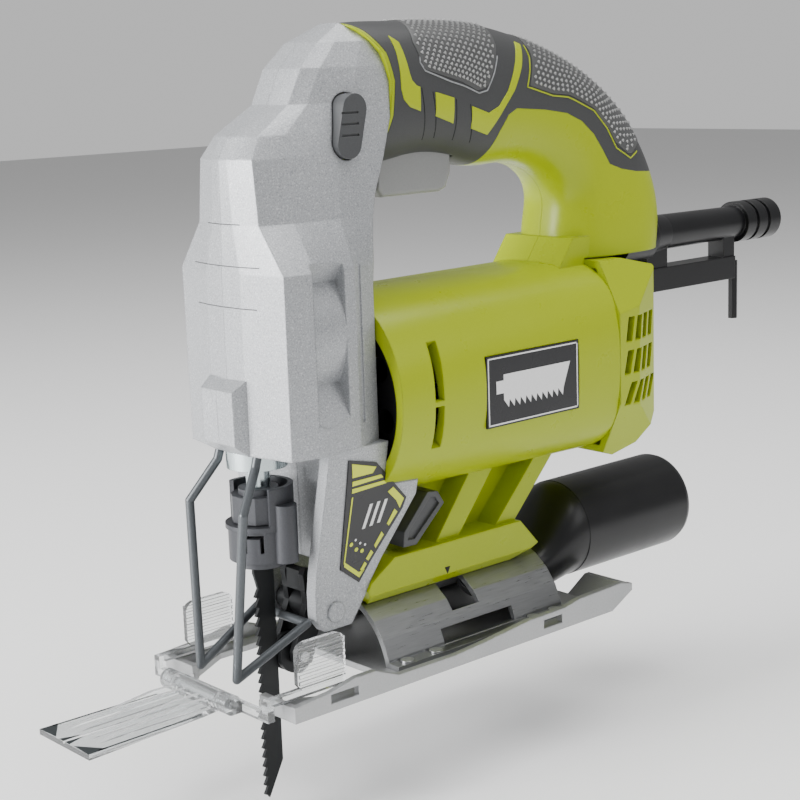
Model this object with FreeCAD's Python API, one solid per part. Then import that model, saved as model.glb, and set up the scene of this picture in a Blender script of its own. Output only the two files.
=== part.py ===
import FreeCAD, Part
import math, os

os.makedirs("parts", exist_ok=True)
V = FreeCAD.Vector

# ---------------------------------------------------------------- dimensions
# Frame: X forward, Y to the tool's left, Z up. The blade's centre line is
# X = 0, Y = 0, and the underside of the shoe is Z = 0. Millimetres.
gap = 0.3                 # air between faces that move past each other
run = 0.05                # radial running clearance on shafts and pins

wall = 2.6                # shell wall of the silver housing
nose_bottom_z = 80.0
nose_rear_x = -34.0
plate_y = 16.0            # outer face of the lower side plates at the pivot
plate_t = 4.5
plate_in_y = plate_y - plate_t
motor_z = 91.0            # armature axis
barrel_z = 92.0
barrel_hw = 34.0
barrel_hh = 35.5
barrel_rear_x = -140.0
bore_r = 31.0             # inside of the motor barrel
cap_rear_x = -179.0
shell_wall = 2.8

shoe_half = 37.0
shoe_front_x = 17.5
shoe_rear_x = -142.0
floor_t = 2.2
rail_in_y = 28.6          # half width of the shoe's opening
bevel_z = -2.0            # bevel axis height
bracket_r = 27.0
bracket_t = 2.2
bracket_front_x, bracket_rear_x = -31.0, -115.0
foot_y = 17.0
foot_bottom_z = 21.4

gear_module = 0.9
gear_teeth, pinion_teeth = 48, 10
gear_z = motor_z + gear_module * (gear_teeth + pinion_teeth) / 2
gear_x0, gear_x1 = -20.0, -12.0
crank_r = 10.0            # half the stroke
crank_up = 6.0            # crank pin height over the gear axis at rest
rod_r = 4.0
rod_bottom_z, rod_top_z = 60.0, 168.0
yoke_z = gear_z + crank_up

blade_half_w, blade_half_t = 4.0, 0.6
blade_tip_z, blade_top_z = -41.0, 59.0
clamp_bottom_z = 41.0
roller_x, roller_z = -10.0, 7.5
roller_rim_r, roller_groove_r = 6.5, 5.7
arm_pivot = (-17.3, 23.3)
wire_r = 1.5
sleeve_z = 131.0
port_z, port_r, port_wall = 23.0, 18.5, 2.0
key_z = 113.0

handle = [                # centre x, centre z, turn, half height, half width
    (-28, 190, 0, 24.0, 17.5), (-44, 191, 0, 23.2, 18.4),
    (-60, 191.8, 0, 22.6, 18.4), (-80, 191.2, 2, 23.0, 18.2),
    (-97, 188.6, 5, 24.2, 17.8), (-112, 186.8, 11, 22.6, 17.2),
    (-131, 181.6, 25, 21.0, 17.0), (-149, 170.5, 46, 21.8, 17.2),
    (-159.5, 155, 70, 25.0, 18.5), (-162, 139, 85, 27.5, 20.0),
    (-160, 121, 90, 26.0, 22.0)]
screw_spots = [           # x, z, half length of the boss the screw sits in
    (-104, 201, 15.0), (-160, 148, 17.0), (-27, 197, 12.8), (-26, 166.5, 17.5),
    (-35, 47.5, 15.5), (-58, 29.5, 0), (-97, 29.5, 0)]


# ------------------------------------------------------------------- helpers
def box(x0, x1, y0, y1, z0, z1):
    return Part.makeBox(x1 - x0, y1 - y0, z1 - z0, V(x0, y0, z0))


def cyl_x(r, x0, x1, y=0.0, z=0.0):
    return Part.makeCylinder(r, x1 - x0, V(x0, y, z), V(1, 0, 0))


def cyl_y(r, y0, y1, x, z):
    return Part.makeCylinder(r, y1 - y0, V(x, y0, z), V(0, 1, 0))


def cyl_z(r, z0, z1, x=0.0, y=0.0):
    return Part.makeCylinder(r, z1 - z0, V(x, y, z0), V(0, 0, 1))


def fuse(shapes):
    out = shapes[0]
    if len(shapes) > 1:
        out = out.multiFuse(shapes[1:])
    return out.removeSplitter()


def cut(shape, tools):
    return shape.cut(tools)


def prism_y(points, y0, y1):
    """An X-Z outline extruded along Y."""
    wire = Part.makePolygon([V(x, y0, z) for x, z in points + points[:1]])
    return Part.Face(wire).extrude(V(0, y1 - y0, 0))


def prism_z(points, z0, z1):
    """An X-Y outline extruded along Z."""
    wire = Part.makePolygon([V(x, y, z0) for x, y in points + points[:1]])
    return Part.Face(wire).extrude(V(0, 0, z1 - z0))


def prism_x(points, x0, x1):
    """A Y-Z outline extruded along X."""
    wire = Part.makePolygon([V(x0, y, z) for y, z in points + points[:1]])
    return Part.Face(wire).extrude(V(x1 - x0, 0, 0))


def mirror(shape):
    return shape.mirror(V(0, 0, 0), V(0, 1, 0))


def inset(points, d):
    """A convex outline moved inwards by d."""
    n, out = len(points), []
    area = sum(points[i][0] * points[(i + 1) % n][1]
               - points[(i + 1) % n][0] * points[i][1] for i in range(n))
    s = 1 if area > 0 else -1
    lines = []
    for i in range(n):
        (x0, y0), (x1, y1) = points[i], points[(i + 1) % n]
        length = math.hypot(x1 - x0, y1 - y0)
        nx, ny = -s * (y1 - y0) / length, s * (x1 - x0) / length
        lines.append((nx, ny, nx * x0 + ny * y0 + d))
    for i in range(n):
        a, b = lines[i - 1], lines[i]
        det = a[0] * b[1] - a[1] * b[0]
        out.append(((a[2] * b[1] - a[1] * b[2]) / det,
                    (a[0] * b[2] - a[2] * b[0]) / det))
    return out


def facets(sections, shrink=0.0):
    """A ruled loft through half outlines, mirrored across Y = 0."""
    wires = []
    for z, half in sections:
        whole = half + [(x, -y) for x, y in reversed(half) if y > 0]
        if shrink:
            whole = inset(whole, shrink)
        wires.append(Part.makePolygon([V(x, y, z) for x, y in whole + whole[:1]]))
    return Part.makeLoft(wires, True, True)


def rounded(centre, u, w, hu, hw, power, count=28):
    """A closed smooth superellipse about centre with half axes hu and hw."""
    points = []
    for i in range(count):
        a = 2 * math.pi * i / count
        c, s = math.cos(a), math.sin(a)
        x = math.copysign(abs(c) ** (2 / power), c) * hu
        y = math.copysign(abs(s) ** (2 / power), s) * hw
        points.append(centre + u * x + w * y)
    curve = Part.BSplineCurve()
    curve.interpolate(points, PeriodicFlag=True)
    return Part.Wire(curve.toShape())


def handle_body(less):
    """The handle's loft, with its outside moved in by less."""
    wires = []
    for x, z, turn, hh, hw in handle:
        a = math.radians(turn)
        up = V(-math.sin(a), 0, math.cos(a))
        wires.append(rounded(V(x, 0, z), up, V(0, 1, 0), hh - less, hw - less, 2.7))
    return Part.makeLoft(wires, True, False)


def barrel_body(less, x0, x1):
    """The motor barrel, slightly fuller towards the rear."""
    wires = []
    for i in range(5):
        x = x0 + (x1 - x0) * i / 4
        wires.append(rounded(V(x, 0, barrel_z), V(0, 0, 1), V(0, 1, 0),
                             barrel_hh - less, barrel_hw - less, 2.15 + 0.22 * i))
    return Part.makeLoft(wires, True, False)


def sector(r0, r1, a0, a1, x0, x1, z):
    """Part of a ring about the X axis through (0, z), angles from +Y."""
    count = 12
    angles = [math.radians(a0 + (a1 - a0) * i / count) for i in range(count + 1)]
    points = [(r1 * math.cos(a), z + r1 * math.sin(a)) for a in angles]
    points += [(r0 * math.cos(a), z + r0 * math.sin(a)) for a in reversed(angles)]
    return prism_x(points, x0, x1)


def wire_run(points, r):
    """A bent round wire: straight lengths with ball-shaped bends."""
    pieces = []
    for a, b in zip(points, points[1:]):
        pieces.append(Part.makeCylinder(r, (b - a).Length, a, b - a))
    pieces += [Part.makeSphere(r, p) for p in points[1:-1]]
    return fuse(pieces)


def involute_gear(teeth, module, x0, x1, z, turn, thin, add, ded, pressure=25.0):
    """A spur gear about the X axis at height z; turn is a tooth's angle from +Z."""
    rp = module * teeth / 2
    rb = rp * math.cos(math.radians(pressure))
    ra, rf = rp + add * module, rp - ded * module
    inv = lambda a: math.tan(a) - a
    half = math.pi / (2 * teeth) - thin / rp / 2 + inv(math.radians(pressure))
    flank = []
    start = max(rb, rf)
    for i in range(5):
        r = start + (ra - start) * i / 4
        flank.append((r, half - inv(math.acos(min(1.0, rb / r)))))
    if rf < rb:
        flank.insert(0, (rf, flank[0][1]))
    points = []
    for t in range(teeth):
        mid = math.radians(turn) + 2 * math.pi * t / teeth
        for r, a in flank:
            points.append((r * math.sin(mid - a), z + r * math.cos(mid - a)))
        for r, a in reversed(flank):
            points.append((r * math.sin(mid + a), z + r * math.cos(mid + a)))
    return prism_x(points, x0, x1)


half_left = box(-320, 60, 0, 80, -60, 260)
half_right = box(-320, 60, -80, 0, -60, 260)

# ------------------------------------------------------- silver front housing
nose_sections = [
    (80, [(10.2, 0), (9.8, 9), (6.2, 26.8), (-5, 29.2), (-22, 27), (-34, 22.5)]),
    (138, [(10, 0), (9.5, 9), (6.2, 27), (-5, 28.8), (-22, 26.8), (-34, 22.5)]),
    (153, [(9.2, 0), (8.7, 5.4), (6.2, 15.7), (-5, 19), (-22, 21), (-38, 20)]),
    (173, [(9, 0), (8.5, 3.8), (6, 13.6), (-5, 16), (-24, 18.6), (-52, 19)]),
    (180, [(5, 0), (4.5, 4), (1.5, 11.5), (-7, 14.5), (-26, 17.8), (-58, 18.8)]),
    (189, [(-11, 0), (-11.3, 4.5), (-12.1, 9.4), (-17, 13), (-32, 16.6), (-60, 18.4)]),
    (200, [(-16.5, 0), (-16.9, 4.6), (-17.6, 9.7), (-23, 12.8), (-36, 15.4), (-58, 16.8)]),
    (208, [(-24.5, 0), (-25, 4.2), (-26, 8.6), (-31, 11), (-40, 13), (-56, 13.6)]),
    (214, [(-37, 0), (-37.3, 2.6), (-38, 4.6), (-41, 5.8), (-46, 6.6), (-55, 7)])]
# rear edge of the silver housing where it meets the handle
edge = [(-33, 60), (-33, 131), (-35, 146), (-38, 160), (-43, 172), (-47, 184),
        (-48, 195), (-46, 204), (-41, 211), (-35, 217), (-35, 230)]
in_front = prism_y(edge + [(60, 230), (60, 60)], -60, 60)
behind = prism_y(edge + [(-260, 230), (-260, 60)], -60, 60)

nose_outer = facets(nose_sections).common(in_front)
cavity_sections = [(84.5, nose_sections[0][1])] + nose_sections[1:7]
nose_cavity = facets(cavity_sections, wall)
# drum-shaped swelling over the gear, set in a shallow side recess
recess = prism_x([(22.0, 102), (22.0, 134), (29.0, 143.5), (40, 143.5), (40, 88),
                  (29.0, 88)], -17.5, -3.8).common(
    prism_y([(-3.8, 90), (-17.5, 86), (-17.5, 147), (-3.8, 141.5)], 20, 60))
drum = cyl_x(27.5, -17.5, -3.8, 0, 118).common(recess)
recess_pad = box(-19.5, -1.8, 19.2, 29, 84, 147).cut(cyl_x(22.9, -30, 10, 0, gear_z))
groove = prism_y([(-25.2, 88), (-23.6, 88), (-24.2, 150), (-22.6, 155), (-25.6, 150)],
                 25.2, 40).common(box(-40, 0, 0, 60, 80, 160))
# lower side plates, skirt wall and the plate outline that carries the arm pivot
plate_outline = [(-9, 80), (-9, 22), (-12.5, 17.5), (-24, 17.5), (-30.5, 26.5),
                 (-49.5, 58.5), (-49.5, 80)]
plate_faces = [(26.4, 80), (24.8, 72), (plate_y + 1.0, 38), (plate_y, 31), (plate_y, 10)]


def plate_slab(out, thick):
    """The slanted slab of both side plates, moved out and made thick."""
    outer = [(y + out, z) for y, z in plate_faces]
    inner = [(y + out - thick, z) for y, z in reversed(plate_faces)]
    one = prism_x(outer + inner, -120, 20)
    return [one, mirror(one)]


barrel_outer = barrel_body(0, nose_rear_x, barrel_rear_x)
plates = [slab.common(prism_y(plate_outline, -60, 60)).cut(barrel_outer)
          for slab in plate_slab(0, plate_t)]
skirt = cut(box(-19, -16.4, -26, 26, 40, 80).common(
    prism_x([(-26.4, 80), (26.4, 80), (24.8, 72), (17, 38), (-17, 38), (-24.8, 72)], -40, 0)),
    plates)
floor = facets([(80, nose_sections[0][1]), (84.5, nose_sections[0][1])]).common(in_front)
web = box(-12, 8, -15, 15, 150, 158).common(facets(nose_sections, 1.0))


front_block = prism_y([(9, 80), (10, 80), (14.4, 83.6), (14.6, 101), (9.9, 104.2), (9, 104.2)],
                      -9.6, 9.6).common(prism_z([(5, 10.6), (10, 9.6), (15, 8.2), (15, -8.2),
                                                 (10, -9.6), (5, -10.6)], 70, 110))


def bosses(spots):
    return [cyl_y(4.6, -half, half, x, z) for x, z, half in spots if half]


def screw_holes(spots, left):
    if left:
        return [cyl_y(1.6, -1, 10.5, x, z) for x, z, _ in spots]
    out = [cyl_y(1.9, -9, 1, x, z) for x, z, _ in spots]
    return out + [cyl_y(3.9, -60, -8, x, z) for x, z, _ in spots]


nose_spots = [p for p in screw_spots if p[0] > -50]
shell_spots = [p for p in screw_spots if p not in nose_spots]
lock_ends = ((-30.2, 187.0), (-27.6, 176.2))


def lock_pill(r, y0, y1):
    """Round-ended block of radius r along the line of the lock button."""
    (x0, z0), (x1, z1) = lock_ends
    length = math.hypot(x1 - x0, z1 - z0)
    nx, nz = (z0 - z1) / length * r, (x1 - x0) / length * r
    middle = prism_y([(x0 - nx, z0 - nz), (x0 + nx, z0 + nz), (x1 + nx, z1 + nz),
                      (x1 - nx, z1 - nz)], y0, y1)
    return fuse([cyl_y(r, y0, y1, x0, z0), cyl_y(r, y0, y1, x1, z1), middle])


lock_slot = lock_pill(5.2, 5, 40)
rear_mouth = box(-60, -28, -19.6, 19.6, 84.5, 124)
nose_all = cut(nose_outer, [nose_cavity, rear_mouth])
nose_all = fuse([nose_all, web, front_block] + plates + [skirt] + [
    recess_pad.common(nose_outer), mirror(recess_pad).common(nose_outer)] + [
    b.common(in_front) for b in bosses(nose_spots)])
bush_holes = [cyl_z(7.0, 60, 100), cyl_z(7.0, 149, 159),
              cyl_z(5.2, 140, 176)]
pin_hole = cyl_y(2.5, -40, 40, *arm_pivot)
selector_x, selector_z, selector_y = -23.0, 62.0, 24.1
selector_hole = cyl_y(4.0 + run, -40, -8, selector_x, selector_z)


def nose_half(left):
    half = nose_all.common(half_left if left else half_right)
    tools = bush_holes + [pin_hole] + screw_holes(nose_spots, left)
    if left:
        tools += [lock_slot, cut(recess, [drum]), groove]
    else:
        tools += [mirror(cut(recess, [drum])), mirror(groove), selector_hole]
    return cut(half, tools)


# ------------------------------------------------- lime handle and motor shell
handle_outer = handle_body(0).common(behind)
handle_skin = handle_body(1.6)
handle_inner = handle_body(shell_wall + 1.4).common(
    box(-230, -30, -60, 60, 134, 230))
grip_outline = [(-20, 225), (-20, 150), (-87, 150), (-94, 167.5), (-98.3, 176.5),
                (-102, 181.8), (-106.2, 183.8), (-120.6, 182.7), (-131.9, 181), (-139.7, 177.8),
                (-146, 172.8), (-150.5, 166.8), (-153.8, 161.6), (-160, 159.4), (-168, 158),
                (-205, 155.5), (-205, 225)]
grip_zone = prism_y(grip_outline, -60, 60).common(behind.translated(V(-1.3, 0, 0)))
barrel_inner = cyl_x(bore_r, barrel_rear_x - 1, nose_rear_x + 1, 0, motor_z)
foot_outline = [(-30.3, 28.2), (-33, foot_bottom_z), (-101, foot_bottom_z), (-113, 26.5),
                (-104, 36.5), (-43.2, 36.5)]
foot = prism_y(foot_outline, -foot_y, foot_y)
foot = cut(foot, [prism_x([(s * foot_y, foot_bottom_z + 3.6), (s * foot_y, 10),
                           (s * (foot_y - 3.6), 10), (s * (foot_y - 3.6), foot_bottom_z)],
                          -130, -20) for s in (1, -1)])
foot = cut(foot, [cyl_x(bracket_r + gap, -130, -20, 0, bevel_z)])
struts = [
    prism_y([(-96, 62), (-84, 62), (-64, 36), (-75, 36)], -14.5, 14.5),
    prism_y([(-128, 62), (-118, 62), (-93, 36), (-103, 36)], -14.5, 14.5),
    prism_y([(-128, 62), (-84, 62), (-64, 36), (-103, 36)], -5, 5),
    prism_y([(-64, 60), (-84, 60), (-75, 36), (-56, 36)], -5, 5)]
root = prism_y([(-126, 125), (-134, 136), (-150, 136), (-150, 125)], -17, 17)
lower = cut(fuse([foot] + struts), [prism_y(plate_outline, -40, 40)])
lime_all = fuse([handle_outer.common(box(-230, 0, -60, 60, 126.0, 230)), barrel_outer,
                 lower, root])
trigger_slot = box(-82.5, -47.5, -9.3, 9.3, 150, 180)
rear_cut = box(-200, barrel_rear_x, -60, 60, 40, 128.2)
vent_slots = []
for s in (1, -1):
    ring = sector(30, 60, -28, -4, -52.5, -48.5, barrel_z)
    ring2 = sector(30, 60, -1, 32, -52.5, -48.5, barrel_z)
    vent_slots += [ring, ring2] if s > 0 else [mirror(ring), mirror(ring2)]
badge_y0 = barrel_hw - 1.0
badge_box = (-118, -72, badge_y0, barrel_hw + 5, 78, 103)
blower_x, blower_z = -62.0, 50.0
blower_hole = cyl_y(2.5 + run, -1, 40, blower_x, blower_z)
bevel_screw_x = -71.0


def shell_half(left):
    half = lime_all.common(half_left if left else half_right)
    layer = cut(grip_zone.common(half_left if left else half_right), [handle_skin])
    layer = layer.common(box(-230, 0, -60, 60, 140, 230))
    tools = [layer, handle_inner, barrel_inner, trigger_slot, rear_cut]
    tools += vent_slots
    half = cut(half, tools)
    extra = [b.common(half_left if left else half_right).common(handle_skin)
             for b in bosses(shell_spots[:2])]
    half = half.fuse(extra)
    tools = screw_holes(shell_spots, left)
    tools += [cyl_z(2.4, 10, 33, bevel_screw_x), hex_pocket]
    tools += [cyl_x(10.3, -230, -170, 0, sleeve_z)]
    if left:
        tools += [blower_hole, box(*badge_box)]
    return cut(half, tools).removeSplitter()


hex_pocket = prism_z([(bevel_screw_x + 4.1 * math.cos(math.radians(60 * i)),
                       4.1 * math.sin(math.radians(60 * i))) for i in range(6)], 28, 31.6)


def grip_half(left):
    side = half_left if left else half_right
    layer = cut(handle_outer.common(grip_zone), [handle_skin]).common(side)
    layer = layer.common(box(-230, 0, -60, 60, 140, 230))
    tools = [trigger_slot]
    if not left:
        tools += [cyl_y(3.9, -60, -8, x, z) for x, z, _ in shell_spots]
    return cut(layer, tools)


def largest(shape):
    return max(shape.Solids, key=lambda one: one.Volume)


cap_spots = [(sy * 17.5, motor_z + sz * 19.0) for sy in (1, -1) for sz in (1, -1)]


def rear_cap():
    side = [(-140, 127.6), (-152, 127.6), (-167, 124), (-176, 113), (-179, 98),
            (-171, 73), (-158, 57.5), (-146, 54.5), (-140, 56.5)]
    half_plan = [(-140, barrel_hw), (-152, barrel_hw - 1), (-167, barrel_hw - 7),
                 (-179, barrel_hw - 17)]
    plan = half_plan + [(x, -y) for x, y in reversed(half_plan)]
    front = [(barrel_hw, 76), (barrel_hw, 109), (24, 128), (-24, 128), (-barrel_hw, 109),
             (-barrel_hw, 76), (-24, 54), (24, 54)]
    outer = prism_y(side, -60, 60).common(prism_z(plan, 0, 200)).common(
        prism_x(front, -200, -100))
    side_in = [(-139, 124.8)] + inset(side, shell_wall)[1:8] + [(-139, 59.5)]
    half_in = barrel_hw - shell_wall
    plan_in = [(-139, half_in)] + inset(plan, shell_wall)[1:7] + [(-139, -half_in)]
    inner = prism_y(side_in, -60, 60).common(prism_z(plan_in, 0, 200)).common(
        prism_x(inset(front, shell_wall), -200, -100))
    cap = cut(outer, [inner])
    spider = [cyl_x(14, -157, -150, 0, motor_z)]
    spider += [box(-157, -150, -2.5, 2.5, 50, 130), box(-157, -150, -40, 40, 88.5, 93.5)]
    spider += [cyl_x(4.0, -175, -140, y, z) for y, z in cap_spots]
    cap = cap.fuse([piece.common(outer) for piece in spider])
    tools = [cyl_x(11.0, -156, -140, 0, motor_z), cyl_x(6, -160, -140, 0, motor_z)]
    for z0, z1, x0, lean in [(75, 83, -142.4, 4.5), (86.3, 95, -142.4, 2.4),
                             (98.3, 107.3, -143.6, 1.7)]:
        for k in range(4):
            x = x0 - 5.5 * k
            slot = prism_y([(x, z0), (x - 3.6, z0), (x - 3.6 - lean, z1), (x - lean, z1)], 19, 60)
            tools += [slot, mirror(slot)]
    for y, z in cap_spots:
        tools += [cyl_x(1.9, -200, -130, y, z), cyl_x(3.4, -200, -165, y, z)]
    return cut(cap, tools)


def trigger():
    outline = [(-49, 180), (-49, 159.5), (-51, 157), (-77, 157), (-80, 158.2),
               (-81.5, 161.5), (-81.5, 180)]
    body = prism_y(outline, -8.8, 8.8)
    edges = [e for e in body.Edges if e.BoundBox.ZMax < 165 and e.BoundBox.YLength < 0.01]
    body = body.makeFillet(1.6, edges)
    return cut(body, [box(-78, -52, -6, 6, 162, 181)]).fuse(box(-67, -63, -6, 6, 160, 180))


def switch_module():
    body = box(-80, -50, -8.5, 8.5, 186.5, 203)
    return body.fuse([box(-70, -60, -4, 4, 185.2, 186.5), box(-76, -54, -6.5, 6.5, 203, 205)])


def lock_button():
    lines = [box(-31.5, -24.5, 20.1, 21, z, z + 0.7) for z in (178.5, 182, 185.5)]
    return cut(lock_pill(4.8, 9, 20.6), lines)


def sleeve():
    outline = [(-174, 4), (-174, 10.2), (-191, 10.2), (-194, 8.2), (-203, 7.0), (-246, 6.6),
               (-250, 6.6), (-250, 8.4), (-255.5, 8.4), (-255.5, 7.4), (-257.5, 7.4),
               (-257.5, 8.4), (-263, 8.4), (-263, 7.4), (-265, 7.4), (-265, 8.4),
               (-272, 8.4), (-272, 4)]
    face = Part.Face(Part.makePolygon(
        [V(x, 0, sleeve_z + r) for x, r in outline + outline[:1]]))
    tube = face.revolve(V(0, 0, sleeve_z), V(1, 0, 0), 360)
    holder = [box(-246, -190.5, -4.6, 4.6, key_z - 4.6, key_z + 4.6),
              box(-203, -190.5, -4, 4, key_z, sleeve_z - 5),
              box(-246, -239, -4, 4, key_z, sleeve_z - 5)]
    body = tube.fuse(holder)
    return cut(body, [cyl_x(4.0, -280, -170, 0, sleeve_z),
                      cyl_x(2.0 + 0.35, -250, -193, 0, key_z)])


def hex_bar(r, start, end):
    """A hexagonal bar of circumradius r between two points."""
    way = end - start
    side = V(0, 1, 0)
    other = way.cross(side).normalize()
    points = [start + side * (r * math.cos(math.radians(60 * i)))
              + other * (r * math.sin(math.radians(60 * i))) for i in range(7)]
    return Part.Face(Part.makePolygon(points)).extrude(way)


def hex_key():
    return fuse([hex_bar(2.0, V(-194, 0, key_z), V(-250.4, 0, key_z)),
                 hex_bar(2.0, V(-250.4, 0, key_z + 2.0), V(-250.4, 0, 90.8))])


def front_plate():
    body = fuse([cyl_x(bore_r, -41, -37, 0, motor_z), cyl_x(14, -41, -34.0, 0, motor_z),
                 cyl_x(7, -41, -34.0, 0, gear_z).common(cyl_x(bore_r, -50, 0, 0, motor_z))])
    tools = [cyl_x(11.0, -42, -33, 0, motor_z), cyl_x(3.0, -42, -32, 0, gear_z)]
    for k in range(8):
        a = math.radians(45 * k - 60)
        if math.sin(a) < 0.55:
            tools.append(cyl_x(4.2, -42, -36, 22.5 * math.cos(a), motor_z + 22.5 * math.sin(a)))
    return cut(body, tools)


def bearing(x0, x1):
    return cut(cyl_x(11.0, x0, x1, 0, motor_z), [cyl_x(4.0 + run, x0 - 1, x1 + 1, 0, motor_z)])


def field_core():
    core = cut(cyl_x(bore_r, -112, -66, 0, motor_z), [cyl_x(17.8, -113, -65, 0, motor_z)])
    tools = [sector(19.3, 26.3, a - 14, a + 14, -113, -65, motor_z) for a in (70, 110, 250, 290)]
    return cut(core, tools)


def field_coils():
    pieces = []
    for s in (0, 180):
        for a in (70, -70):
            pieces.append(sector(19.4, 26.2, s + a - 13.6, s + a + 13.6, -112, -66, motor_z))
        for x0, x1 in ((-118, -112), (-66, -60)):
            pieces.append(sector(19.4, 27.0, s - 83.6, s + 83.6, x0, x1, motor_z))
    return fuse(pieces)


def brush_carrier():
    ring = cut(cyl_x(bore_r, -139, -136, 0, motor_z), [cyl_x(20, -140, -135, 0, motor_z)])
    tubes = []
    for s in (1, -1):
        y0, y1 = (12.5, 28) if s > 0 else (-28, -12.5)
        tube = box(-136, -122.5, y0, y1, motor_z - 6.8, motor_z + 6.8)
        tubes.append(cut(tube, [box(-134.0, -124.6, y0 - 1, y1 + 1, motor_z - 5.1,
                                    motor_z + 5.1)]))
    return cut(fuse([ring] + tubes), [cyl_x(1.6, -140, -135, y, z) for y, z in cap_spots])


def brushes():
    pieces = []
    for s in (1, -1):
        y0, y1 = (9, 21) if s > 0 else (-21, -9)
        one = box(-133.9, -124.7, y0, y1, motor_z - 5, motor_z + 5)
        pieces.append(cut(one, [cyl_x(11.3, -140, -120, 0, motor_z)]))
    return Part.makeCompound(pieces)


def armature_shaft():
    pinion = involute_gear(pinion_teeth, gear_module, -22, -11.4, motor_z,
                           180.0 / pinion_teeth, 0.16, 0.9, 1.15)
    shaft = cyl_x(4.0, -160, -23, 0, motor_z)
    neck = cyl_x(3.3, -23, -22, 0, motor_z)
    return fuse([shaft, neck, pinion])


def armature_core():
    core = cyl_x(17.0, -110, -68, 0, motor_z)
    tools = [cyl_x(4.0, -111, -67, 0, motor_z)]
    for k in range(12):
        slot = box(-111, -67, -1.4, 1.4, 9, 16).fuse(box(-111, -67, -0.6, 0.6, 15, 18))
        slot.rotate(V(0, 0, 0), V(1, 0, 0), 30 * k)
        slot.translate(V(0, 0, motor_z))
        tools.append(slot)
    return cut(core, tools)


def armature_windings():
    pieces = []
    for x0, x1 in ((-68, -61), (-118, -110)):
        pieces.append(cut(cyl_x(15.6, x0, x1, 0, motor_z), [cyl_x(5.2, x0 - 1, x1 + 1, 0,
                                                                 motor_z)]))
    for k in range(12):
        bar = box(-110, -68, -1.3, 1.3, 9.2, 15.2)
        bar.rotate(V(0, 0, 0), V(1, 0, 0), 30 * k)
        bar.translate(V(0, 0, motor_z))
        pieces.append(bar)
    return fuse(pieces)


def commutator():
    body = cut(cyl_x(11.0, -136, -120.5, 0, motor_z), [cyl_x(4.0, -140, -120, 0, motor_z)])
    tools = []
    for k in range(24):
        slot = box(-134, -120, -0.3, 0.3, 9.8, 12)
        slot.rotate(V(0, 0, 0), V(1, 0, 0), 15 * k)
        slot.translate(V(0, 0, motor_z))
        tools.append(slot)
    return cut(body, tools)


def fan():
    pieces = [cyl_x(7, -57, -46, 0, motor_z), cyl_x(28, -48, -46, 0, motor_z)]
    for k in range(12):
        blade = box(-57, -48, -0.8, 0.8, 6, 27.5)
        blade.rotate(V(0, 0, 14), V(1, 0, 0), 18)
        blade.rotate(V(0, 0, 0), V(1, 0, 0), 30 * k)
        blade.translate(V(0, 0, motor_z))
        pieces.append(blade)
    return cut(fuse(pieces), [cyl_x(4.0, -60, -40, 0, motor_z)])


def drive_gear():
    gear = involute_gear(gear_teeth, gear_module, gear_x0, gear_x1, gear_z, 0.0,
                         0.16, 0.8, 1.15)
    web = cut(cyl_x(18, gear_x0 - 1, gear_x0 + 2.5, 0, gear_z), [cyl_x(7, gear_x0 - 2, gear_x1,
                                                                 0, gear_z)])
    hub = cyl_x(6.5, gear_x0 - 3, gear_x1 + 0.6, 0, gear_z)
    return cut(cut(gear, [web]).fuse(hub), [cyl_x(3.0 + run, -40, 0, 0, gear_z),
                                            cyl_x(2.5, -17, 0, crank_y, yoke_z)])


crank_y = math.sqrt(crank_r ** 2 - crank_up ** 2)


def crank_pin():
    return cyl_x(2.5, -17, -8.7, crank_y, yoke_z)


def crank_roller():
    return cut(cyl_x(5.0, -11.3, -8.7, crank_y, yoke_z), [cyl_x(2.5 + run, -12, -8, crank_y,
                                                               yoke_z)])


def gear_spindle():
    return cyl_x(3.0, -41, -9.2, 0, gear_z)


def yoke():
    slider = box(-8.3, -4.6, -18, 18, yoke_z - 8.6, yoke_z + 8.6)
    slider = cut(slider, [box(-9, -4, -15.4, 15.4, yoke_z - 5.3, yoke_z + 5.3)])
    clamps = [box(-4.6, 6.2, -6.5, 6.5, yoke_z + s - 1.6, yoke_z + s + 1.6) for s in (-7, 7)]
    return cut(fuse([slider] + clamps), [cyl_z(rod_r, 90, 160)])


def bush_lower():
    return cut(cyl_z(7.0, 76, 93).fuse(cyl_z(10.0, 74, 80)), [cyl_z(rod_r + run, 60, 100)])


def bush_upper():
    return cut(cyl_z(7.0, 149, 159), [cyl_z(rod_r + run, 140, 170)])


def clamp_body():
    points = [(9.2 * math.cos(math.radians(30 * k + 15)), 9.2 * math.sin(math.radians(30 * k + 15)))
              for k in range(12)]
    pieces = [prism_z(points, 56, 65), cyl_z(6.6, 65, 67), cyl_z(6.9, 43, 56),
              cyl_z(8.4, clamp_bottom_z, 43)]
    return cut(fuse(pieces), [cyl_z(rod_r, rod_bottom_z, 80),
                              box(-4.4, 4.4, -0.8, 0.8, 30, rod_bottom_z)])


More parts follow.
